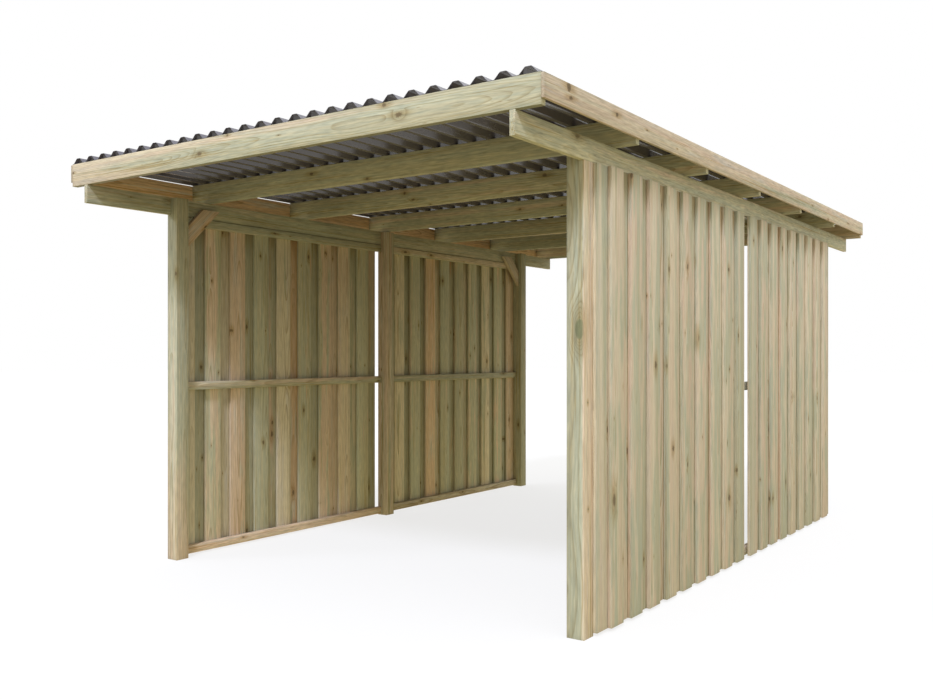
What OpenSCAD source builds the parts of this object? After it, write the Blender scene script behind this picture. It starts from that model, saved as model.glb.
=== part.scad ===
// Timber carport: six notched posts, two side beams, rafters, a corrugated roof
// and board-on-board walls on both long sides. The two short ends are open.
// Millimetres, +Z up, +Y towards the rear. Origin on the ground at the plan's centre.

/* [Posts] */
// Side of the square posts
post_w = 90; // [75:1:125]
// Width over the outer faces of the posts
posts_w = 2960; // [2400:10:3600]
// Length over the outer faces of the corner posts
posts_l = 4120; // [3600:10:4800]
// Height of the beams' underside above the ground
beam_z = 2166; // [1900:1:2600]

/* [Beams and roof frame] */
// Thickness of the side beams
beam_t = 28; // [22:1:60]
// Height of the side beams
beam_h = 106; // [80:1:160]
// How far the post tops stay below the top of the beams
post_top_drop = 4; // [1:1:20]
// Thickness of the rafters and of the two end boards
rafter_t = 36; // [28:1:60]
// Height of the rafters and of the two end boards
rafter_h = 130; // [115:1:180]
// Roof overhang past the posts at each long side
side_overhang = 135; // [60:5:300]
// Roof overhang past the posts at each open end
end_overhang = 575; // [200:5:800]
// Thickness of the side fascias
fascia_t = 15; // [12:1:30]
// Height of the side fascias
fascia_h = 102; // [60:1:110]
// How far the fascias stay below the top of the rafters
fascia_drop = 3; // [0:1:10]

/* [Roof sheets] */
// Nominal distance from crest to crest
wave_nominal = 118.5; // [90:0.5:160]
// Height of a sheet from its valley to its crest, thickness included
wave_h = 30; // [20:1:50]
// Flat width of a crest
crest_w = 30; // [20:1:40]
// Flat width of a valley
valley_w = 30; // [12:1:40]
// Thickness of a sheet, measured upright
sheet_t = 2; // [1:0.5:4]

/* [Wall panels] */
// Thickness of the rails
rail_t = 36; // [28:1:60]
// Height of the rails
rail_h = 52; // [40:1:80]
// Height of the bottom rail above the ground
rail_bottom = 13; // [5:1:60]
// Height of the middle rail's underside above the ground
middle_rail_z = 1060; // [700:5:1400]
// Gap between the top rail and the beam
rail_top_gap = 4; // [1:1:20]
// Width of a wall board
board_w = 125; // [95:1:150]
// Thickness of a wall board
board_t = 21; // [15:1:28]
// Least overlap of an outer board on its inner neighbour
board_lap = 20; // [10:1:30]
// Height of the boards' lower ends above the ground
board_bottom = 15; // [5:1:60]
// Gap between the boards' upper ends and the level of the beam's underside
board_top_gap = 2; // [1:1:20]
// How far a panel's first board laps its corner post
corner_lap = 4; // [0:1:20]
// Gap between a panel's last board and the middle post's face
middle_gap = 13; // [1:1:40]

/* [Knee braces] */
// Width of a brace across its grain
brace_w = 95; // [60:1:120]
// Thickness of a brace
brace_t = 30; // [20:1:40]
// Length that a brace runs along the beam, from the post's face
brace_l = 270; // [200:5:500]
// Height by which a brace laps the beam
brace_lap = 55; // [30:1:75]

/* [Hidden] */

frame_timber = [0.70, 0.67, 0.54];
board_timber = [0.66, 0.62, 0.48];
sheet_grey = [0.24, 0.23, 0.25];

// Signs for the sides and the ends of the plan
left = -1;
right = 1;
front = -1;
middle = 0;
rear = 1;

// How far a cutting block reaches past the piece that it cuts
cut_over = 5;

// Posts: the middle of the rows, and the clear span of one wall panel
post_pitch = (posts_l - post_w) / 2;
bay_clear = post_pitch - post_w;
corner_face = post_pitch - post_w / 2;
wall_face = posts_w / 2;

// Heights of the roof frame, from the beams upward
rafter_z = beam_z + beam_h;
roof_z = rafter_z + rafter_h;
post_h = rafter_z - post_top_drop;
fascia_z = roof_z - fascia_drop - fascia_h;

// Plan of the roof
roof_w = posts_w + 2 * side_overhang;
roof_l = posts_l + 2 * end_overhang;
rafter_l = roof_w - 2 * fascia_t;
roof_bays = 6;
rafter_pitch = roof_l / roof_bays;

// Three sheets fill the width between the fascias with whole waves
sheet_count = 3;
sheet_w = rafter_l / sheet_count;
waves = round(sheet_w / wave_nominal);
wave_pitch = sheet_w / waves;
slope_w = (wave_pitch - crest_w - valley_w) / 2;

// Boards of one panel: inner and outer ones in turn, at half the pitch of each layer
panel_l = bay_clear + corner_lap - middle_gap;
count_slack = 0.001;
board_pairs = ceil(((panel_l - board_w) / (board_w - board_lap) + 1) / 2 - count_slack);
board_step = (panel_l - board_w) / (2 * board_pairs - 1);
board_h = beam_z - board_top_gap - board_bottom;

// Heights of the rails
top_rail_z = beam_z - rail_top_gap - rail_h;

// Braces lie on the beam, or on the top rail where that is the thicker one
brace_face = wall_face - max(beam_t, rail_t);
brace_top = beam_z + brace_lap;
brace_cut = brace_w * sqrt(2);

// Everything is drawn at the right side and the rear end, and mirrored from there
module at_side(side) {
    mirror([side < 0 ? 1 : 0, 0, 0]) children();
}

module at_end(end) {
    mirror([0, end < 0 ? 1 : 0, 0]) children();
}

// Post with its outer side notched at the top to seat the beam
module post(side, row) {
    color(frame_timber)
        at_side(side)
            translate([wall_face - post_w, row * post_pitch - post_w / 2, 0])
                difference() {
                    cube([post_w, post_w, post_h]);
                    translate([post_w - beam_t, -cut_over, beam_z])
                        cube([beam_t + cut_over, post_w + 2 * cut_over, beam_h]);
                }
}

// Side beam, flush with the outer faces of its posts
module beam(side) {
    color(frame_timber)
        at_side(side)
            translate([wall_face - beam_t, -roof_l / 2, beam_z])
                cube([beam_t, roof_l, beam_h]);
}

// Upright board across the carport on both beams, with its middle at y
module cross_board(y) {
    color(frame_timber)
        translate([-rafter_l / 2, y - rafter_t / 2, rafter_z])
            cube([rafter_l, rafter_t, rafter_h]);
}

module end_board(end) {
    cross_board(end * (roof_l - rafter_t) / 2);
}

module rafter(place) {
    cross_board(place * rafter_pitch);
}

// Side fascia, nailed over the ends of the rafters and end boards
module fascia(side) {
    color(frame_timber)
        at_side(side)
            translate([roof_w / 2 - fascia_t, -roof_l / 2, fascia_z])
                cube([fascia_t, roof_l, fascia_h]);
}

// Underside of one sheet across its waves, as a list of points
function sheet_underside(rise) = [
    [0, 0],
    for (i = [0 : waves - 1])
        for (p = [
            [valley_w / 2, 0],
            [valley_w / 2 + slope_w, rise],
            [valley_w / 2 + slope_w + crest_w, rise],
            [wave_pitch - valley_w / 2, 0]
        ])
            [i * wave_pitch + p[0], p[1]],
    [sheet_w, 0]
];

// Corrugated sheet lying on the rafters, with its waves along the carport
module roof_sheet(place) {
    underside = sheet_underside(wave_h - sheet_t);
    last = len(underside) - 1;
    top_side = [for (i = [last : -1 : 0]) underside[i] + [0, sheet_t]];
    color(sheet_grey)
        translate([(place - 0.5) * sheet_w, 0, roof_z])
            rotate([90, 0, 0])
                linear_extrude(roof_l, center = true)
                    polygon(concat(underside, top_side));
}

// Rail between two posts, flush with their outer faces
module rail(side, end, z) {
    color(frame_timber)
        at_side(side)
            at_end(end)
                translate([wall_face - rail_t, post_w / 2, z])
                    cube([rail_t, bay_clear, rail_h]);
}

module bottom_rail(side, end) {
    rail(side, end, rail_bottom);
}

module middle_rail(side, end) {
    rail(side, end, middle_rail_z);
}

module top_rail(side, end) {
    rail(side, end, top_rail_z);
}

// Board-on-board cladding of one panel, counted from the corner post
module wall_boards(side, end) {
    color(board_timber)
        at_side(side)
            at_end(end)
                for (i = [0 : 2 * board_pairs - 1]) {
                    layer = i % 2;
                    far_edge = corner_face + corner_lap - i * board_step;
                    translate([wall_face + layer * board_t, far_edge - board_w, board_bottom])
                        cube([board_t, board_w, board_h]);
                }
}

// Knee brace at 45 degrees, butted to a corner post and lapped on the beam
module brace(side, end) {
    color(frame_timber)
        at_side(side)
            at_end(end)
                translate([brace_face, corner_face, brace_top])
                    rotate([90, 0, -90])
                        linear_extrude(brace_t)
                            polygon([
                                [0, -brace_l],
                                [brace_l, 0],
                                [brace_l - brace_cut, 0],
                                [0, brace_cut - brace_l]
                            ]);
}

post(left, front);  // front_left_post
post(left, middle);  // middle_left_post
post(left, rear);  // rear_left_post
post(right, front);  // front_right_post
post(right, middle);  // middle_right_post
post(right, rear);  // rear_right_post
beam(left);  // left_beam
beam(right);  // right_beam
end_board(front);  // front_end_board
rafter(-2);  // rafter_1
rafter(-1);  // rafter_2
rafter(0);  // rafter_3
rafter(1);  // rafter_4
rafter(2);  // rafter_5
end_board(rear);  // rear_end_board
fascia(left);  // left_fascia
fascia(right);  // right_fascia
roof_sheet(-1);  // left_roof_sheet
roof_sheet(0);  // middle_roof_sheet
roof_sheet(1);  // right_roof_sheet
bottom_rail(left, front);  // front_left_bottom_rail
middle_rail(left, front);  // front_left_middle_rail
top_rail(left, front);  // front_left_top_rail
wall_boards(left, front);  // front_left_boards
bottom_rail(left, rear);  // rear_left_bottom_rail
middle_rail(left, rear);  // rear_left_middle_rail
top_rail(left, rear);  // rear_left_top_rail
wall_boards(left, rear);  // rear_left_boards
bottom_rail(right, front);  // front_right_bottom_rail
middle_rail(right, front);  // front_right_middle_rail
top_rail(right, front);  // front_right_top_rail
wall_boards(right, front);  // front_right_boards
bottom_rail(right, rear);  // rear_right_bottom_rail
middle_rail(right, rear);  // rear_right_middle_rail
top_rail(right, rear);  // rear_right_top_rail
wall_boards(right, rear);  // rear_right_boards
brace(left, front);  // front_left_brace
brace(left, rear);  // rear_left_brace
brace(right, front);  // front_right_brace
brace(right, rear);  // rear_right_brace
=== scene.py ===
import math
import random
from types import SimpleNamespace

import bmesh
import bpy
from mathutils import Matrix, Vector


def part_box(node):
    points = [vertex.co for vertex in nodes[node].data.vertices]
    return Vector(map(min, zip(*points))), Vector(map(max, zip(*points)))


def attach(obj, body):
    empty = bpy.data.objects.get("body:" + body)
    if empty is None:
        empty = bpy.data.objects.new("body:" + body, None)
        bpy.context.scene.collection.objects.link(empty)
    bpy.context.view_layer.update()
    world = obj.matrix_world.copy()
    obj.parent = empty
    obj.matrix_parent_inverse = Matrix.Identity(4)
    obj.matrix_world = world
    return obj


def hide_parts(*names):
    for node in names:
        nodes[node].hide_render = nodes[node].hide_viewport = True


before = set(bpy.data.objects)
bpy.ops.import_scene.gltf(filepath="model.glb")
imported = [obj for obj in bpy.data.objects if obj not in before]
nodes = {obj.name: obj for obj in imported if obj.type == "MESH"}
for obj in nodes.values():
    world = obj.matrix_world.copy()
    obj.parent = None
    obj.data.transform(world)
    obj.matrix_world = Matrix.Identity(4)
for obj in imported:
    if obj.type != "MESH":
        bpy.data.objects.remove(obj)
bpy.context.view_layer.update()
print("frame loaded:", len(nodes), "nodes")


class Wire:
    # one socket of a shader tree; sums written with it become Math nodes

    def __init__(self, tree, socket=None):
        self.tree = tree
        self.socket = socket

    def node(self, kind, settings, inputs, output=0):
        made = self.tree.nodes.new(kind)
        for key, value in settings.items():
            if key == "stops":
                self.fillRamp(made.color_ramp, value)
            else:
                setattr(made, key, value)
        for key, value in inputs.items():
            if isinstance(value, Wire):
                self.tree.links.new(value.socket, made.inputs[key])
            else:
                made.inputs[key].default_value = value
        return Wire(self.tree, made.outputs[output])

    def beside(self, output):  # another output of the same node
        return Wire(self.tree, self.socket.node.outputs[output])

    def fillRamp(self, ramp, stops):
        while len(ramp.elements) < len(stops):
            ramp.elements.new(0.5)
        for element, (place, grey) in zip(ramp.elements, stops):
            element.position = place
            element.color = (grey, grey, grey, 1.0)

    def sum(self, operation, first, second=0.0):
        return self.node("ShaderNodeMath", {"operation": operation}, {0: first, 1: second})

    def __add__(self, other):
        return self.sum("ADD", self, other)

    def __radd__(self, other):
        return self.sum("ADD", other, self)

    def __sub__(self, other):
        return self.sum("SUBTRACT", self, other)

    def __rsub__(self, other):
        return self.sum("SUBTRACT", other, self)

    def __mul__(self, other):
        return self.sum("MULTIPLY", self, other)

    def __rmul__(self, other):
        return self.sum("MULTIPLY", other, self)

    def __truediv__(self, other):
        return self.sum("DIVIDE", self, other)

    def __rtruediv__(self, other):
        return self.sum("DIVIDE", other, self)

    def __pow__(self, other):
        return self.sum("POWER", self, other)

    def fade(self, low, high):  # 0 below low, 1 above high, smooth between
        inputs = {"Value": self, "From Min": low, "From Max": high}
        return self.node("ShaderNodeMapRange", {"interpolation_type": "SMOOTHSTEP"}, inputs)

    def parts(self):  # a vector's three numbers
        split = self.node("ShaderNodeSeparateXYZ", {}, {0: self})
        return [split.beside(i) for i in range(3)]

    def vector(self, x, y, z):
        return self.node("ShaderNodeCombineXYZ", {}, {0: x, 1: y, 2: z})

    def noise(self, place, detail):
        inputs = {"Vector": place, "Scale": 1.0, "Detail": detail, "Roughness": 0.5}
        return self.node("ShaderNodeTexNoise", {"noise_dimensions": "3D"}, inputs)

    def blend(self, mask, first, second, mode="MIX"):  # colours
        settings = {"data_type": "RGBA", "blend_type": mode}
        return self.node("ShaderNodeMix", settings, {0: mask, 6: first, 7: second}, 2)


def newMaterial(name):
    material = bpy.data.materials.new(name)
    material.use_nodes = True
    tree = material.node_tree
    shader = tree.nodes["Principled BSDF"]
    return material, Wire(tree), shader


def joinTo(wire, shader, socketName):
    wire.tree.links.new(wire.socket, shader.inputs[socketName])


def joinBump(height, shader, bump):
    strength, distance = bump
    inputs = {"Strength": strength, "Distance": distance, "Height": height}
    joinTo(height.node("ShaderNodeBump", {}, inputs), shader, "Normal")


# treated pine, sawn from a log whose heart lies at "pith", in or beside each piece
pineLook = {
    "sap": (0.385, 0.408, 0.312, 1.0),
    "olive": (0.415, 0.402, 0.278, 1.0),
    "straw": (0.575, 0.520, 0.388, 1.0),
    "heart": (0.565, 0.452, 0.340, 1.0),
    "amber": (0.560, 0.390, 0.225, 1.0),
    "pale": (0.490, 0.462, 0.405, 1.0),
    "lateWood": (0.63, 0.54, 0.39, 1.0),
    "seam": (0.68, 0.59, 0.43, 1.0),
    "knotCore": (0.120, 0.085, 0.045, 1.0),
    "knotGreen": (0.150, 0.165, 0.090, 1.0),
    "knotHalo": (0.66, 0.55, 0.36, 1.0),
    "fleck": (0.42, 0.29, 0.16, 1.0),
    # painted shade, at the laps and at the tops of recessed boards
    "paintedShade": (0.58, 0.49, 0.31, 1.0),
    "share": {  # how strongly each of these shows
        "pale": 0.80,
        "green": 0.90,
        "seam": 0.60,
        "halo": 0.70,
        "core": 0.85,
        "fleck": 0.85,
        "shadeTop": 0.75,
    },
    "streaks": {  # repeats a metre along and across, detail, and shift by the seed across and through
        "ragged": (70.0, 110.0, 2.0, 0.0, 0.0),
        "fine": (4.0, 34.0, 3.0, 0.0, 0.0),
        "stripeA": (0.40, 19.0, 2.0, 1.0, 0.0),
        "stripeB": (0.60, 34.0, 3.0, 0.0, 1.0),
        "blotch": (2.6, 24.0, 3.0, 0.0, 1.0),
        "mottle": (13.0, 105.0, 2.0, 1.0, 0.0),
        "line": (1.3, 150.0, 2.0, 1.0, 0.0),
        "fibre": (9.0, 480.0, 1.0, 0.0, 0.0),
    },
    "seedStep": 19.0,  # metres along the log from one seed to the next
    "wander": (0.045, 0.075),  # metres that the heart strays across and through
    "ringGap": (0.0060, 0.0050),  # least metres between rings, and more by chance
    "ringStops": [(0.0, 0.0), (0.55, 0.06), (0.84, 0.70), (0.94, 1.0), (1.0, 0.0)],
    "pins": {"every": 0.46, "angle": 0.80, "share": 0.14, "size": 0.0024, "sizeSpread": 0.0075},
    "knot": {"squash": 0.24, "eyeSquash": 0.07, "spikes": 2.4, "eye": (0.5, 2.6), "push": -0.20},
    "bigKnot": (0.020, 0.021),  # a knot past this size is crisp and green
    "greenFrom": {"stripes": 0.75, "own": 0.70, "patches": 0.30, "boardPatches": 0.80},
    "fleckScale": (13.0, 110.0),  # flecks a metre along and across
    "lap": 0.020,  # metres that one board covers of the next
    "lapShade": (0.25, 0.50),  # least, and more in patches
    "shadeTop": 0.24,  # metres of painted shade down from the top of a recessed board
    "endReach": 0.03,  # metres from a sawn end
    "endDull": 0.08,
    "grit": {"line": 0.34, "mottle": 0.40, "fibre": 0.22},
    "cloud": (0.86, 0.28),  # least lightness, and more in patches
    "roughness": 0.74,
    "ringGloss": 0.10,
    "fibreRough": 0.12,
    "relief": {"fibre": 0.45, "line": 0.40, "ring": 0.30, "knot": 0.40},
    "bump": (0.4, 0.0012),  # strength, and height in metres
    "specular": 0.25,
}


def pointVector(start, label):  # a layer that markGrain wrote on the points
    return start.node("ShaderNodeAttribute", {"attribute_name": label}, {}, 1).parts()


def readGrain(start, look):
    grain = SimpleNamespace()
    grain.along, grain.across, grain.through = pointVector(start, "grain")
    pithAcross, pithThrough, lean = pointVector(start, "pith")
    grain.light, grain.green, grain.seed = pointVector(start, "tint")
    grain.halfLength, grain.halfWidth, grain.lapSide = pointVector(start, "reach")
    grain.greenAcross, grain.greenAlong, grain.lightAcross = pointVector(start, "slant")
    grain.coarse, grain.warm, grain.figure = pointVector(start, "sawn")
    grain.place = grain.along + grain.seed * look["seedStep"]
    grain.edgeward = (grain.across / grain.halfWidth) ** 3.0

    # distance and angle from the heart of the log, which wanders a little
    wander = start.noise(start.vector(grain.place * 0.9, grain.seed, 3.0), 2.0) - 0.5
    fromAcross = grain.across - pithAcross + wander * look["wander"][0]
    fromThrough = grain.through - pithThrough + lean * grain.along + wander * look["wander"][1]
    grain.radius = (fromAcross * fromAcross + fromThrough * fromThrough) ** 0.5
    grain.angle = start.sum("ARCTAN2", fromThrough, fromAcross)

    # noise drawn out along the grain
    for label, (lengthwise, crosswise, detail, sideShift, deepShift) in look["streaks"].items():
        side = grain.across * crosswise + grain.seed * sideShift
        deep = grain.through * crosswise + grain.seed * deepShift
        spot = start.vector(grain.place * lengthwise, side, deep)
        setattr(grain, label, start.noise(spot, detail))
    return grain


def knotMasks(start, shape, ragged, offA, offB, size, twist, crisp=0.0):
    # a ragged core, a long eye around it, and how far it pushes the rings aside
    far = (offA * offA * shape["squash"] + offB * offB) ** 0.5
    spikes = shape["spikes"]
    star = start.noise(start.vector(offA / far * spikes, offB / far * spikes, twist), 1.0) - 0.5
    near = far / size * (1.0 + star * (1.1 - crisp)) + ragged * (0.5 - crisp * 0.35)
    eyeFar = (offA * offA * shape["eyeSquash"] + offB * offB) ** 0.5 / size + ragged * 0.6
    core = 1.0 - near.fade(0.45 + crisp * 0.40, 1.15)
    eye = 1.0 - eyeFar.fade(*shape["eye"])
    swell = start.sum("EXPONENT", far * far / (size * size) * shape["push"]) * size
    return core, eye, swell


def pineKnots(start, look, grain):
    # branches leave the heart like spokes: pin knots by chance, then two marked knots
    shape = look["knot"]
    pins = look["pins"]
    ragged = grain.ragged - 0.5
    cellA = grain.place / pins["every"]
    cellB = grain.angle / pins["angle"] + grain.seed * 7.0
    settings = {"voronoi_dimensions": "2D"}
    inputs = {"Vector": start.vector(cellA, cellB, 0.0), "Scale": 1.0, "Randomness": 0.9}
    centre = start.node("ShaderNodeTexVoronoi", settings, inputs, 2)
    centreA, centreB, _ = centre.parts()
    sizeDraw, showDraw, _ = centre.beside(1).parts()
    offA = (cellA - centreA) * pins["every"]
    offB = (cellB - centreB) * pins["angle"] * grain.radius
    size = pins["size"] + sizeDraw * sizeDraw * pins["sizeSpread"]
    shown = showDraw.fade(1.0 - pins["share"], 1.01 - pins["share"])
    masks = knotMasks(start, shape, ragged, offA, offB, size, centreA * 5.0)
    knot, eye, swell = [mask * shown for mask in masks]
    inside = 1.0 - grain.edgeward * grain.edgeward
    for label in ("mark2", "mark"):  # the first mark comes last, its size decides on a green core
        markAlong, markAngle, markSize = pointVector(start, label)
        offA = grain.along - markAlong
        offB = start.sum("SINE", (grain.angle - markAngle) * 0.5) * 2.0 * grain.radius
        big = markSize.fade(*look["bigKnot"])
        size = markSize + 0.0001
        core, halo, push = knotMasks(start, shape, ragged, offA, offB, size, grain.seed + markAlong, big)
        knot = start.sum("MAXIMUM", knot, core * inside)
        eye = start.sum("MAXIMUM", eye, halo)
        swell = swell + push * (1.0 + big) * inside
    return knot, eye, swell, big


def pineRings(start, look, grain, swell):
    # yearly rings, with thin dark late wood
    least, more = look["ringGap"]
    slow = start.noise(start.vector(grain.place * 0.5, grain.radius * 34.0, grain.seed), 1.0) - 0.5
    gap = least + start.sum("FRACT", grain.seed * 3.7) * more
    phase = (grain.radius + swell * 1.1 + (grain.fine - 0.5) * 0.0045) / gap + slow * 2.4
    return start.node("ShaderNodeValToRGB", {"stops": look["ringStops"]}, {0: start.sum("FRACT", phase)})


def pineGreen(start, parts, grain):
    onBoard = start.sum("ABSOLUTE", grain.lapSide)  # wall boards are patchier than the frame
    patchy = (grain.blotch - 0.5) * (parts["patches"] + onBoard * parts["boardPatches"])
    green = (grain.stripeA - 0.5) * parts["stripes"] + (grain.green - 0.5) * parts["own"] + patchy
    green = green + grain.greenAcross * grain.edgeward
    green = green + grain.greenAlong * grain.along / grain.halfLength
    return green.fade(-0.10, 0.12)


def pineColour(start, look, grain, ring, knot, eye, big):
    share = look["share"]

    def darken(colour, mask, shade):
        return start.blend(mask, colour, start.blend(1.0, colour, shade, "MULTIPLY"))

    # green sap wood over straw, pale and warm heart wood, in long soft stripes
    green = pineGreen(start, look["greenFrom"], grain)
    colour = start.blend((grain.stripeB + grain.warm).fade(0.32, 0.68), look["straw"], look["heart"])
    amberHere = grain.warm.fade(0.12, 0.45) * (grain.stripeA + 0.25)
    colour = start.blend(amberHere, colour, look["amber"])
    paleHere = (grain.stripeB * 0.4 + grain.blotch * 0.6).fade(0.50, 0.66)
    colour = start.blend(paleHere * share["pale"], colour, look["pale"])
    oliveHere = (grain.mottle * 0.3 + grain.stripeB * 0.7).fade(0.40, 0.60)
    sap = start.blend(oliveHere, look["sap"], look["olive"])
    colour = start.blend(green * share["green"], colour, sap)

    # late wood, seams and knots
    ringHere = ring * (0.16 + grain.blotch * 0.90) * (1.0 - green * 0.35) * grain.figure
    colour = darken(colour, ringHere, look["lateWood"])
    seamHere = (grain.line + grain.stripeA * 0.5).fade(0.84, 0.98) * grain.coarse
    colour = darken(colour, seamHere * share["seam"], look["seam"])
    colour = darken(colour, eye * share["halo"], look["knotHalo"])
    core = start.blend(big, look["knotCore"], look["knotGreen"])
    colour = start.blend(knot * share["core"], colour, core)

    # resin flecks, short dark dashes along the grain
    lengthwise, crosswise = look["fleckScale"]
    side = grain.across * crosswise + grain.seed
    spot = start.vector(grain.place * lengthwise, side, grain.through * crosswise)
    settings = {"voronoi_dimensions": "3D"}
    fleckFar = start.node("ShaderNodeTexVoronoi", settings, {"Vector": spot, "Scale": 1.0})
    resinous = (grain.blotch + grain.stripeB * 0.6).fade(0.88, 1.04)
    fleckHere = (1.0 - fleckFar.fade(0.06, 0.24)) * resinous
    colour = darken(colour, fleckHere * share["fleck"], look["fleck"])

    # painted shade where one board laps another, and at the top of the recessed boards
    least, more = look["lapShade"]
    lapFar = grain.halfWidth - look["lap"] - start.sum("ABSOLUTE", grain.across)
    recess = (grain.through * grain.lapSide).fade(0.006, 0.010)
    lapped = (1.0 - lapFar.fade(0.001, 0.006)) * (least + grain.blotch.fade(0.35, 0.65) * more)
    topFar = grain.halfLength - grain.along
    paintedTopShade = (1.0 - topFar.fade(0.0, look["shadeTop"])) * share["shadeTop"]
    return darken(colour, start.sum("MAXIMUM", lapped, paintedTopShade) * recess, look["paintedShade"])


def pineShade(start, look, grain):
    # each piece's own lightness, its fibres, and duller sawn ends
    least, more = look["cloud"]
    endFar = grain.halfLength - start.sum("ABSOLUTE", grain.along)
    endDull = endFar.fade(0.0, look["endReach"]) * look["endDull"] + (1.0 - look["endDull"])
    grit = (grain.line - 0.5) * look["grit"]["line"]
    grit = grit + (grain.mottle - 0.5) * look["grit"]["mottle"]
    grit = grit + (grain.fibre - 0.5) * look["grit"]["fibre"]
    shade = grain.light * endDull * (1.0 + grit * grain.coarse) * (least + grain.blotch * more)
    return shade * (1.0 + grain.lightAcross * grain.edgeward)


def treatedPine(name, look):
    material, start, shader = newMaterial(name)
    grain = readGrain(start, look)
    knot, eye, swell, big = pineKnots(start, look, grain)
    ring = pineRings(start, look, grain, swell)
    colour = pineColour(start, look, grain, ring, knot, eye, big)
    shade = pineShade(start, look, grain)
    colour = start.blend(1.0, colour, start.vector(shade, shade, shade), "MULTIPLY")
    joinTo(colour, shader, "Base Color")
    rough = look["roughness"] - ring * look["ringGloss"] + (grain.fibre - 0.5) * look["fibreRough"]
    joinTo(rough, shader, "Roughness")
    high = look["relief"]
    relief = grain.fibre * high["fibre"] + grain.line * high["line"]
    relief = relief + ring * high["ring"] - knot * high["knot"]
    joinBump(relief, shader, look["bump"])
    shader.inputs["Specular IOR Level"].default_value = look["specular"]
    return material


# coated steel roof sheet, lightly dusty
sheetLook = {
    "colour": (0.065, 0.060, 0.092, 1.0),
    "dust": (0.200, 0.190, 0.175, 1.0),
    "dustShare": 0.22,
    "cloud": (2.2, 0.7, 2.0),  # repeats a metre
    "speck": (60.0, 22.0, 60.0),
    "orangePeel": (240.0, 240.0, 240.0),
    "roughness": 0.20,
    "dustRough": 0.12,
    "speckRough": 0.04,
    "bump": (0.04, 0.0006),  # strength, and height in metres
    "specular": 0.85,
}


def spotNoise(start, scale, detail):  # noise by the place in the frame
    x, y, z = start.node("ShaderNodeTexCoord", {}, {}, 3).parts()
    return start.noise(start.vector(x * scale[0], y * scale[1], z * scale[2]), detail)


def coatedSheet(name, look):
    material, start, shader = newMaterial(name)
    cloud = spotNoise(start, look["cloud"], 2.0)
    speck = spotNoise(start, look["speck"], 3.0)
    dusty = (cloud * 0.75 + speck * 0.25).fade(0.30, 0.78)
    joinTo(start.blend(dusty * look["dustShare"], look["colour"], look["dust"]), shader, "Base Color")
    rough = look["roughness"] + dusty * look["dustRough"] + (speck - 0.5) * look["speckRough"]
    joinTo(rough, shader, "Roughness")
    joinBump(spotNoise(start, look["orangePeel"], 1.0), shader, look["bump"])
    shader.inputs["Specular IOR Level"].default_value = look["specular"]
    return material


# zinc-coated screws
zincLook = {
    "dark": (0.30, 0.30, 0.31, 1.0),
    "bright": (0.46, 0.46, 0.47, 1.0),
    "flake": (900.0, 900.0, 900.0),  # repeats a metre
    "roughness": 0.34,
    "flakeRough": 0.2,
}


def zincSteel(name, look):
    material, start, shader = newMaterial(name)
    flake = spotNoise(start, look["flake"], 2.0)
    joinTo(start.blend(flake, look["dark"], look["bright"]), shader, "Base Color")
    joinTo(look["roughness"] + flake * look["flakeRough"], shader, "Roughness")
    shader.inputs["Metallic"].default_value = 1.0
    return material


pine = treatedPine("treated_pine", pineLook)
sheetCoat = coatedSheet("sheet_coat", sheetLook)
zinc = zincSteel("zinc_screws", zincLook)
print("materials made")


draw = random.Random(41)  # seeded again by name for every piece
skin = 0.0005  # metres; a point nearer than this to a face counts as on it

# what chance decides in a piece of wood
woodDraw = {
    "lean": (0.003, 0.018),  # the heart's drift a metre
    "straighter": 0.4,  # share of that drift in posts and beside chosen knots
    "heartInside": 0.3,  # share of the section, in a post
    "heartAcross": 0.40,  # share of the width, in other pieces
    "heartBehind": (0.012, 0.060),  # metres past the face
    "slant": (0.10, 0.08, 0.03),  # green across and along, lightness across
    "seed": 9.0,  # seeds lie between 0 and this
    "figure": (0.5, 1.5),  # strength of the rings
    "knotAlong": 0.46,  # share of the length
    "knotAcross": 0.36,  # share of the width
    "knotSize": (0.006, 0.013),
}


def addLayers(bm):
    layers = bm.verts.layers
    labels = ("grain", "reach", "pith", "tint", "slant", "sawn", "mark", "mark2")
    return {label: layers.float_vector.new(label) for label in labels}


def boxAxes(size):  # longest side first
    order = sorted(range(3), key=lambda i: -round(size[i], 4))
    return [Vector([1.0 if i == k else 0.0 for i in range(3)]) for k in order]


def markGrain(verts, layers, centre, axes, wood):
    # axes: along, across and through the piece
    for vert in verts:
        off = vert.co - centre
        vert[layers["grain"]] = Vector([off.dot(axis) for axis in axes])
        for label, value in wood.items():
            vert[layers[label]] = value


def drawPith(width, thickness, heartIn):
    lean = draw.choice((-1.0, 1.0)) * draw.uniform(*woodDraw["lean"])
    if heartIn:  # a post keeps the heart of the log inside
        most = woodDraw["heartInside"]
        across = draw.uniform(-most, most) * width
        through = draw.uniform(-most, most) * thickness
        return Vector((across, through, lean * woodDraw["straighter"]))
    side = draw.choice((-1.0, 1.0))
    far = thickness * 0.5 + draw.uniform(*woodDraw["heartBehind"])
    most = woodDraw["heartAcross"]
    return Vector((draw.uniform(-most, most) * width, side * far, lean))


def knotMark(pith, along, across, through, size):
    # a knot is kept as its height, its angle round the heart, and its size
    angle = math.atan2(through - pith.y + pith.z * along, across - pith.x)
    return Vector((along, angle, size))


def drawTone(cut):
    green = min(1.0, max(0.0, draw.gauss(cut["green"], cut["greenSpread"])))
    light = cut["light"] * (1.0 + draw.uniform(-1.0, 1.0) * cut["spread"])
    warm = cut["warm"] + draw.uniform(-1.0, 1.0) * cut["warmSpread"]
    return light, green, warm


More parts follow.
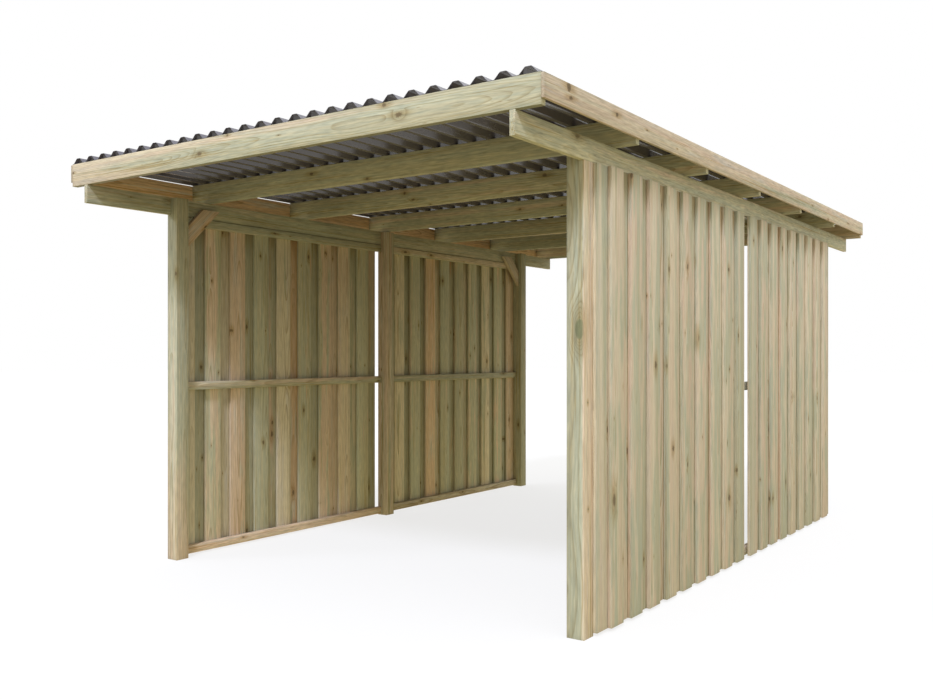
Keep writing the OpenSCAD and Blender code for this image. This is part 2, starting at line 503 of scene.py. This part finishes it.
def drawWood(size, cut, chosen, tone=None, heart=None):
    # size: length, width and thickness; chosen, tone and heart: as seen in the photograph
    length, width, thickness = size
    pith = drawPith(width, thickness, cut["heartIn"])
    if heart:
        pith = Vector(heart)
    elif chosen:  # the branch points straight out of the face that shows it
        _, across, through, _ = chosen[0]
        behind = -math.copysign(0.012 + thickness * 0.3, through)
        pith = Vector((across * 0.6, behind, pith.z * woodDraw["straighter"]))
    light, green, warm = tone or drawTone(cut)
    wood = {"pith": pith, "tint": Vector((light, green, draw.uniform(0.0, woodDraw["seed"])))}
    wood["reach"] = Vector((length / 2, width / 2, 0.0))
    wood["slant"] = Vector([draw.uniform(-most, most) for most in woodDraw["slant"]])
    least, most = woodDraw["figure"]
    wood["sawn"] = Vector((cut["coarse"], warm, most if heart else draw.uniform(least, most)))
    for label in ("mark", "mark2"):
        along = draw.uniform(-woodDraw["knotAlong"], woodDraw["knotAlong"]) * length
        across = draw.uniform(-woodDraw["knotAcross"], woodDraw["knotAcross"]) * width
        through = draw.choice((-0.5, 0.5)) * thickness
        radius = draw.uniform(*woodDraw["knotSize"]) if draw.random() < cut["knots"] else 0.0
        wood[label] = knotMark(pith, along, across, through, radius)
    for label, (along, across, through, radius) in zip(("mark", "mark2"), chosen):
        wood[label] = knotMark(pith, along, across, through, radius)
    return wood


def toneInside(verts, layers, centre, outward, wood, tone, coarse, depth=0.0):
    # the faces towards the bay take a tone of their own, mostly lighter, as painted light in the shade
    # under the roof
    light, green, warm = tone
    for vert in verts:
        inward = centre.x - vert.co.x if outward > 0 else vert.co.x - centre.x
        if inward > depth:
            vert[layers["tint"]] = Vector((light, green, wood["tint"].z))
            vert[layers["sawn"]] = Vector((coarse, warm, wood["sawn"].z))


def finishPiece(bm, name, material, replaced):
    mesh = bpy.data.meshes.new(name)
    bm.to_mesh(mesh)
    bm.free()
    piece = bpy.data.objects.new(name, mesh)
    bpy.context.scene.collection.objects.link(piece)
    mesh.materials.append(material)
    for face in mesh.polygons:
        face.use_smooth = True
    mesh.set_sharp_from_angle(angle=math.radians(32))
    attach(piece, "root")
    if replaced:
        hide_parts(*replaced)


easeCut = {"angle": 0.3, "steps": 2}  # edges that turn by more than this many radians are eased


def easeEdges(bm, width):
    sharp = []
    for edge in bm.edges:
        if len(edge.link_faces) == 2 and edge.calc_face_angle(0.0) > easeCut["angle"]:
            sharp.append(edge)
    bmesh.ops.bevel(
        bm,
        geom=sharp,
        offset=width,
        segments=easeCut["steps"],
        profile=0.5,
        affect="EDGES",
        clamp_overlap=True,
    )


# posts, beams, rafters, fascias, rails and braces: eased copies of the solids
timberBase = {
    "ease": 0.0022,
    "light": 1.0,
    "spread": 0.05,
    "warm": 0.0,
    "warmSpread": 0.15,
    "coarse": 1.6,
    "knots": 0.6,
    "heartIn": False,
}
timberCut = {
    "post": {**timberBase, "green": 0.60, "greenSpread": 0.12, "heartIn": True, "knots": 0.7},
    "beam": {**timberBase, "green": 0.70, "greenSpread": 0.10, "coarse": 2.3},
    "end_board": {**timberBase, "green": 0.60, "greenSpread": 0.08},
    "rafter": {**timberBase, "green": 0.72, "greenSpread": 0.16, "light": 1.09, "coarse": 2.3},
    "fascia": {**timberBase, "green": 0.25, "greenSpread": 0.12, "coarse": 1.9, "knots": 0.8},
    "rail": {**timberBase, "green": 0.40, "greenSpread": 0.20, "spread": 0.08, "coarse": 2.0},
    "brace": {**timberBase, "green": 0.15, "greenSpread": 0.08},
}

# knots that stand out in the photograph: along, across, through, radius
chosenKnots = {
    "front_right_post": [(0.27, 0.019, -0.045, 0.022)],
    "front_end_board": [(0.877, 0.004, -0.018, 0.012), (-0.456, -0.012, -0.018, 0.011)],
    "front_left_brace": [(0.03, 0.005, 0.015, 0.008)],
    "right_fascia": [(-2.42, -0.012, 0.0075, 0.009), (-2.00, 0.018, 0.0075, 0.008)],
}

# where the heart of the log lies, in pieces whose rings the photograph shows
chosenHearts = {
    "front_end_board": (0.0, 0.030, -0.022),
    "front_right_post": (-0.050, 0.160, 0.002),
}

# change of green across and along a piece, and of lightness across it
chosenSlants = {
    "front_end_board": (0.0, 0.22, 0.0),
    "front_right_post": (-0.32, 0.0, 0.11),
    "front_left_post": (0.0, 0.24, 0.10),
    "right_fascia": (0.0, 0.05, 0.0),
    "left_fascia": (0.0, 0.05, 0.0),
}

# lightness, share of green and warmth of the pieces that the photograph shows best
seenTones = {
    "front_end_board": (1.07, 0.67, -0.10),
    "front_right_post": (1.02, 0.78, 0.0),
    "front_left_post": (1.04, 0.72, 0.0),
    "middle_left_post": (1.06, 0.38, 0.08),
    "right_beam": (1.14, 0.66, 0.0),
    "left_beam": (1.02, 0.66, 0.0),
    "rafter_1": (1.03, 0.82, 0.0),
    "rafter_2": (1.13, 0.74, 0.05),
    "rafter_3": (1.15, 0.70, 0.05),
    "right_fascia": (0.94, 0.34, 0.03),
    "left_fascia": (0.94, 0.34, 0.03),
    "front_left_bottom_rail": (1.26, 0.15, 0.22),
    "front_left_middle_rail": (1.12, 0.54, 0.0),
    "front_left_top_rail": (1.00, 0.74, 0.0),
    "front_left_brace": (1.06, 0.08, 0.26),
    "rear_end_board": (1.17, 0.52, 0.10),
}
# painted light: the fascias' inner faces are far lighter than their outer faces, to lift the shade under
# the roof
fasciaInsideLifted = (1.62, 0.05, 0.45)
fasciaFade = 0.12  # lighter towards the rear, darker towards the front
underShade = {"light": 0.60, "green": 0.15}  # painted shade: the end boards are darker and greener underneath


def braceAxes(centre):  # the brace climbs from its post to the beam
    rise = 1.0 if centre.y < 0 else -1.0
    along = Vector((0.0, rise, 1.0)).normalized()
    across = Vector((0.0, -rise, 1.0)).normalized()
    return [along, across, Vector((1.0, 0.0, 0.0))]


# painted shade on the bottom faces
def shadeUnderneath(verts, layers, bottom):
    for vert in verts:
        if vert.co.z < bottom + skin:
            vert[layers["tint"]].x *= underShade["light"]
            vert[layers["tint"]].y += underShade["green"]


def fadeAlong(verts, layers, middle):
    for vert in verts:
        rearward = 1.0 if vert.co.y > middle else -1.0
        vert[layers["tint"]].x *= 1.0 + rearward * fasciaFade


def timberPiece(node, kind):
    cut = timberCut[kind]
    draw.seed(node)
    bm = bmesh.new()
    bm.from_mesh(nodes[node].data)
    bmesh.ops.remove_doubles(bm, verts=bm.verts, dist=0.0001)
    bmesh.ops.dissolve_limit(bm, angle_limit=0.02, verts=bm.verts, edges=bm.edges)
    easeEdges(bm, cut["ease"])
    low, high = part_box(node)
    centre = (low + high) / 2
    axes = braceAxes(centre) if kind == "brace" else boxAxes(high - low)
    size = sorted(high - low, reverse=True)
    knots = chosenKnots.get(node, [])
    wood = drawWood(size, cut, knots, seenTones.get(node), chosenHearts.get(node))
    if node in chosenSlants:
        wood["slant"] = Vector(chosenSlants[node])
    layers = addLayers(bm)
    markGrain(bm.verts, layers, centre, axes, wood)
    if kind == "end_board":
        shadeUnderneath(bm.verts, layers, low.z)
    if kind == "fascia":
        fadeAlong(bm.verts, layers, centre.y)
        # painted light on the inner face, towards the bay
        innerFace = size[2] / 2 - skin
        toneInside(bm.verts, layers, centre, centre.x, wood, fasciaInsideLifted, cut["coarse"], innerFace)
    finishPiece(bm, "pine_" + node, pine, [node])


for node in sorted(nodes):
    for kind in timberCut:
        if node.endswith(kind) or node.startswith(kind + "_"):
            timberPiece(node, kind)
print("timber pieces made")


# wall boards, nailed on in two layers
boardCut = {
    "width": 0.125,
    "pairs": 9,
    "ease": 0.0014,
    "play": 0.0006,
    "endPlay": 3.0,  # times the play, at the boards' ends
    "heartIn": False,
    "knots": 0.30,
}

# tones of the boards' faces: the inside varies from board to board and takes painted light against the
# roof's shade, with painted shade on its recessed layer; the outside is even and finer
insideTones = {
    "light": 1.15,
    "spread": 0.09,
    "green": 0.48,
    "greenSpread": 0.40,
    "warm": 0.0,
    "warmSpread": 0.42,
    "coarse": 1.4,
    "recessShade": 0.20,
}
outsideTones = {
    "light": 0.985,
    "spread": 0.03,
    "green": 0.52,
    "greenSpread": 0.08,
    "warm": -0.01,
    "warmSpread": 0.08,
    "coarse": 0.8,
}

# a knot that stands out on one board, by wall and number, 0 at the corner post
boardKnots = {("front_right_boards", 1): [(-0.48, -0.035, 0.0105, 0.017)]}


def addBox(bm, low, high):
    for vert in bmesh.ops.create_cube(bm, size=1.0)["verts"]:
        vert.co = Vector([low[i] + (vert.co[i] + 0.5) * (high[i] - low[i]) for i in range(3)])


def wallBoard(low, high, outward, layer, lapped, chosen):
    # layer: 0 for a board on the rails, 1 for one that laps two of those
    bm = bmesh.new()
    addBox(bm, low, high)
    easeEdges(bm, boardCut["ease"])
    size = high - low
    wood = drawWood((size.z, size.y, size.x), {**boardCut, **outsideTones}, chosen)
    if lapped:
        wood["reach"].z = outward * (1 - 2 * layer)
    axes = [Vector((0, 0, 1)), Vector((0, 1, 0)), Vector((1, 0, 0))]
    centre = (low + high) / 2
    layers = addLayers(bm)
    markGrain(bm.verts, layers, centre, axes, wood)
    light, green, warm = drawTone(insideTones)
    light *= 1.0 - insideTones["recessShade"] * (layer - 0.5)
    toneInside(bm.verts, layers, centre, outward, wood, (light, green, warm), insideTones["coarse"])
    return bm


def joinInto(whole, one):
    scratch = bpy.data.meshes.new("scratch")
    one.to_mesh(scratch)
    one.free()
    whole.from_mesh(scratch)
    bpy.data.meshes.remove(scratch)


def wallBoards(node):
    low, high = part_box(node)
    outward = 1.0 if low.x > 0 else -1.0
    corner = -1.0 if low.y < 0 else 1.0
    wallFace = low.x if outward > 0 else high.x
    thickness = (high.x - low.x) / 2
    count = 2 * boardCut["pairs"]
    step = (high.y - low.y - boardCut["width"]) / (count - 1)
    farEdge = high.y if corner > 0 else low.y
    draw.seed(node)
    whole = bmesh.new()
    addLayers(whole)
    for i in range(count):
        layer = i % 2
        inner = wallFace + outward * thickness * layer
        first = farEdge - corner * i * step
        faces = sorted((inner, inner + outward * thickness))
        sides = sorted((first, first - corner * boardCut["width"]))
        slip = draw.uniform(-1.0, 1.0) * boardCut["play"]
        bottom = low.z + draw.uniform(0.0, boardCut["endPlay"]) * boardCut["play"]
        top = high.z - draw.uniform(0.0, boardCut["endPlay"]) * boardCut["play"]
        boardLow = Vector((faces[0], sides[0] + slip, bottom))
        boardHigh = Vector((faces[1], sides[1] + slip, top))
        lapped = 0 < i < count - 1
        chosen = boardKnots.get((node, i), [])
        joinInto(whole, wallBoard(boardLow, boardHigh, outward, layer, lapped, chosen))
    finishPiece(whole, "pine_" + node, pine, [node])


for node in sorted(nodes):
    if node.endswith("_boards"):
        wallBoards(node)
print("wall boards made")


# corrugated sheets from left to right; 1 for a sheet that laps the next by one wave
sheetLaps = {"left_roof_sheet": 1, "middle_roof_sheet": 1, "right_roof_sheet": 0}
sheetCut = {
    "waves": 9,
    "crest": 0.030,
    "valley": 0.030,
    "bend": 0.004,
    "bendSteps": 3,
    "thick": 0.0011,
    "lapLift": 1.1,  # thicknesses that the lapping wave is raised by
}


def sheetLine(low, high, lap):
    # bend points of one sheet across its waves, then rounded at the bends
    pitch = (high.x - low.x) / sheetCut["waves"]
    slope = (pitch - sheetCut["crest"] - sheetCut["valley"]) / 2
    top = high.z - sheetCut["thick"]
    corners = [Vector((low.x, low.z))]
    for i in range(sheetCut["waves"] + lap):
        left = low.x + i * pitch + sheetCut["valley"] / 2
        corners.append(Vector((left, low.z)))
        corners.append(Vector((left + slope, top)))
        corners.append(Vector((left + slope + sheetCut["crest"], top)))
        corners.append(Vector((left + 2 * slope + sheetCut["crest"], low.z)))
    if not lap:
        corners.append(Vector((high.x, low.z)))
    line = [corners[0]]
    for before, corner, after in zip(corners, corners[1:], corners[2:]):
        start = corner + (before - corner).normalized() * sheetCut["bend"]
        end = corner + (after - corner).normalized() * sheetCut["bend"]
        for k in range(sheetCut["bendSteps"] + 1):
            t = k / sheetCut["bendSteps"]
            line.append(start * (1 - t) ** 2 + corner * 2 * t * (1 - t) + end * t * t)
    line.append(corners[-1])
    return line


def sideways(line, distance):  # the line moved off its own surface
    moved = []
    for i, point in enumerate(line):
        before = line[max(i - 1, 0)]
        after = line[min(i + 1, len(line) - 1)]
        run = (after - before).normalized()
        moved.append(point + Vector((-run.y, run.x)) * distance)
    return moved


def roofSheet(node, lap):
    low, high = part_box(node)
    edge = high.x - 0.5 * sheetCut["valley"]
    raised = Vector((0.0, sheetCut["thick"] * sheetCut["lapLift"]))
    under = sheetLine(low, high, lap)
    if lap:  # the lapping wave rides on top of the next sheet
        under = [point + raised if point.x > edge else point for point in under]
    over = sideways(under, sheetCut["thick"])
    outline = under + over[::-1]
    bm = bmesh.new()
    front = [bm.verts.new((point.x, low.y, point.y)) for point in outline]
    back = [bm.verts.new((point.x, high.y, point.y)) for point in outline]
    count = len(outline)
    for i in range(count):
        j = (i + 1) % count
        bm.faces.new((front[i], front[j], back[j], back[i]))
    for i in range(len(under) - 1):  # both cut ends
        j = count - 1 - i
        bm.faces.new((front[i], front[j], front[j - 1], front[i + 1]))
        bm.faces.new((back[i], back[i + 1], back[j - 1], back[j]))
    bmesh.ops.recalc_face_normals(bm, faces=bm.faces)
    finishPiece(bm, "coated_" + node, sheetCoat, [node])


for node, lap in sheetLaps.items():
    roofSheet(node, lap)
print("roof sheets made")


# roofing screws with washers, in every third valley over each rafter and end board
screwCut = {
    "first": 2,
    "every": 3,
    "washer": 0.008,
    "washerHigh": 0.0018,
    "washerSides": 20,
    "head": 0.0048,
    "headHigh": 0.0050,
    "headSides": 6,
    "chamfer": 0.25,  # share of the radius or the height
}


def addDisc(bm, centre, radius, height, sides):
    chamfer = min(radius, height) * screwCut["chamfer"]
    levels = [(0.0, radius), (height - chamfer, radius), (height, radius - chamfer)]
    turns = [2 * math.pi * k / sides for k in range(sides)]
    rows = []
    for rise, reach in levels:
        spots = [Vector((math.cos(turn) * reach, math.sin(turn) * reach, rise)) for turn in turns]
        rows.append([bm.verts.new(centre + spot) for spot in spots])
    for lower, upper in zip(rows, rows[1:]):
        for k in range(sides):
            m = (k + 1) % sides
            bm.faces.new((lower[k], lower[m], upper[m], upper[k]))
    bm.faces.new(rows[-1])
    bm.faces.new(rows[0][::-1])


def roofScrews():
    low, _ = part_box("left_roof_sheet")
    _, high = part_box("right_roof_sheet")
    valleys = len(sheetLaps) * sheetCut["waves"]
    pitch = (high.x - low.x) / valleys
    bm = bmesh.new()
    for node in sorted(nodes):
        if not node.startswith("rafter") and not node.endswith("end_board"):
            continue
        boardLow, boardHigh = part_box(node)
        y = (boardLow.y + boardHigh.y) / 2
        for k in range(screwCut["first"], valleys, screwCut["every"]):
            seat = Vector((low.x + k * pitch, y, low.z + sheetCut["thick"]))
            addDisc(bm, seat, screwCut["washer"], screwCut["washerHigh"], screwCut["washerSides"])
            seat.z += screwCut["washerHigh"]
            addDisc(bm, seat, screwCut["head"], screwCut["headHigh"], screwCut["headSides"])
    finishPiece(bm, "roof_screws", zinc, [])


roofScrews()
print("roof screws made")


# pale floor that stays white to the camera and keeps a soft shadow; to other rays it is half a warm glow
# of its own, painted light that reaches under the roof without shadow
floorLook = {
    "size": 120.0,
    "white": 0.76,  # share of plain white that the camera sees
    "lit": (0.92, 0.92, 0.92, 1.0),
    "bounce": (0.34, 0.29, 0.19, 1.0),
    # painted light: the floor's own warm glow
    "glow": (0.84, 0.71, 0.30, 1.0),
    "glowShare": 0.5,
}
plainWhite = (1.0, 1.0, 1.0, 1.0)


def seenRays(start):  # 1 for what the camera sees, straight or by way of gloss or glass
    rays = start.node("ShaderNodeLightPath", {}, {})
    seen = start.sum("MAXIMUM", rays, rays.beside("Is Glossy Ray"))
    return start.sum("MAXIMUM", seen, rays.beside("Is Transmission Ray"))


def paleGround(name, look):
    material, start, shader = newMaterial(name)
    matt = start.node("ShaderNodeBsdfDiffuse", {}, {"Color": look["bounce"]})
    glow = start.node("ShaderNodeEmission", {}, {"Color": look["glow"], "Strength": 1.0})
    bounce = start.node("ShaderNodeMixShader", {}, {0: look["glowShare"], 1: matt, 2: glow})
    white = start.node("ShaderNodeEmission", {}, {"Color": plainWhite, "Strength": 1.0})
    lit = start.node("ShaderNodeBsdfDiffuse", {}, {"Color": look["lit"]})
    shown = start.node("ShaderNodeMixShader", {}, {0: look["white"], 1: lit, 2: white})
    both = start.node("ShaderNodeMixShader", {}, {0: seenRays(start), 1: bounce, 2: shown})
    joinTo(both, start.tree.nodes["Material Output"], "Surface")
    start.tree.nodes.remove(shader)
    return material


def paleFloor():
    bm = bmesh.new()
    half = floorLook["size"] / 2
    corners = [(-half, -half), (half, -half), (half, half), (-half, half)]
    bm.faces.new([bm.verts.new((x, y, 0.0)) for x, y in corners])
    mesh = bpy.data.meshes.new("floor")
    bm.to_mesh(mesh)
    bm.free()
    floor = bpy.data.objects.new("floor", mesh)
    bpy.context.scene.collection.objects.link(floor)
    mesh.materials.append(paleGround("pale_floor", floorLook))


paleFloor()
print("floor laid")


# daylight from the front right, two weaker lights at its sides, and an even sky
dayLook = {
    "key": {"from": (0.446, -1.0, 1.07), "strength": 1.85, "soft": 10.0, "colour": (0.95, 1.0, 1.21)},
    "low": {"from": (-1.0, -1.0, 0.75), "strength": 0.7, "soft": 16.0, "colour": (0.96, 1.0, 1.17)},
    "fill": {"from": (1.0, -0.3, 0.5), "strength": 0.6, "soft": 70.0, "colour": (1.0, 0.99, 1.0)},
    "sky": (0.77, 0.75, 0.70, 1.0),
}


def daylight():
    for label in ("key", "low", "fill"):
        look = dayLook[label]
        lamp = bpy.data.lights.new(label, "SUN")
        lamp.energy = look["strength"]
        lamp.angle = math.radians(look["soft"])
        lamp.color = look["colour"]
        sun = bpy.data.objects.new(label, lamp)
        sun.rotation_euler = Vector(look["from"]).to_track_quat("Z", "Y").to_euler()
        bpy.context.scene.collection.objects.link(sun)
    world = bpy.data.worlds.new("sky")
    world.use_nodes = True
    bpy.context.scene.world = world
    start = Wire(world.node_tree)
    colour = start.blend(seenRays(start), dayLook["sky"], plainWhite)
    joinTo(colour, start.tree.nodes["Background"], "Color")


daylight()


# the photograph's view: level camera, front right corner nearest
cameraLook = {
    "place": (3.509, -5.815, 1.293),
    "turn": 35.044,
    "sensor": 36.0,
    "lens": 36.39,
    "shift": (-0.0079, 0.0038),
}


def viewCamera():
    lens = bpy.data.cameras.new("view")
    lens.sensor_width = cameraLook["sensor"]
    lens.lens = cameraLook["lens"]
    lens.shift_x, lens.shift_y = cameraLook["shift"]
    camera = bpy.data.objects.new("view", lens)
    camera.location = cameraLook["place"]
    camera.rotation_euler = (math.radians(90.0), 0.0, math.radians(cameraLook["turn"]))
    bpy.context.scene.collection.objects.link(camera)
    bpy.context.scene.camera = camera


viewCamera()
bpy.context.scene.view_settings.view_transform = "Standard"
print("light and camera set")

bpy.context.view_layer.update()
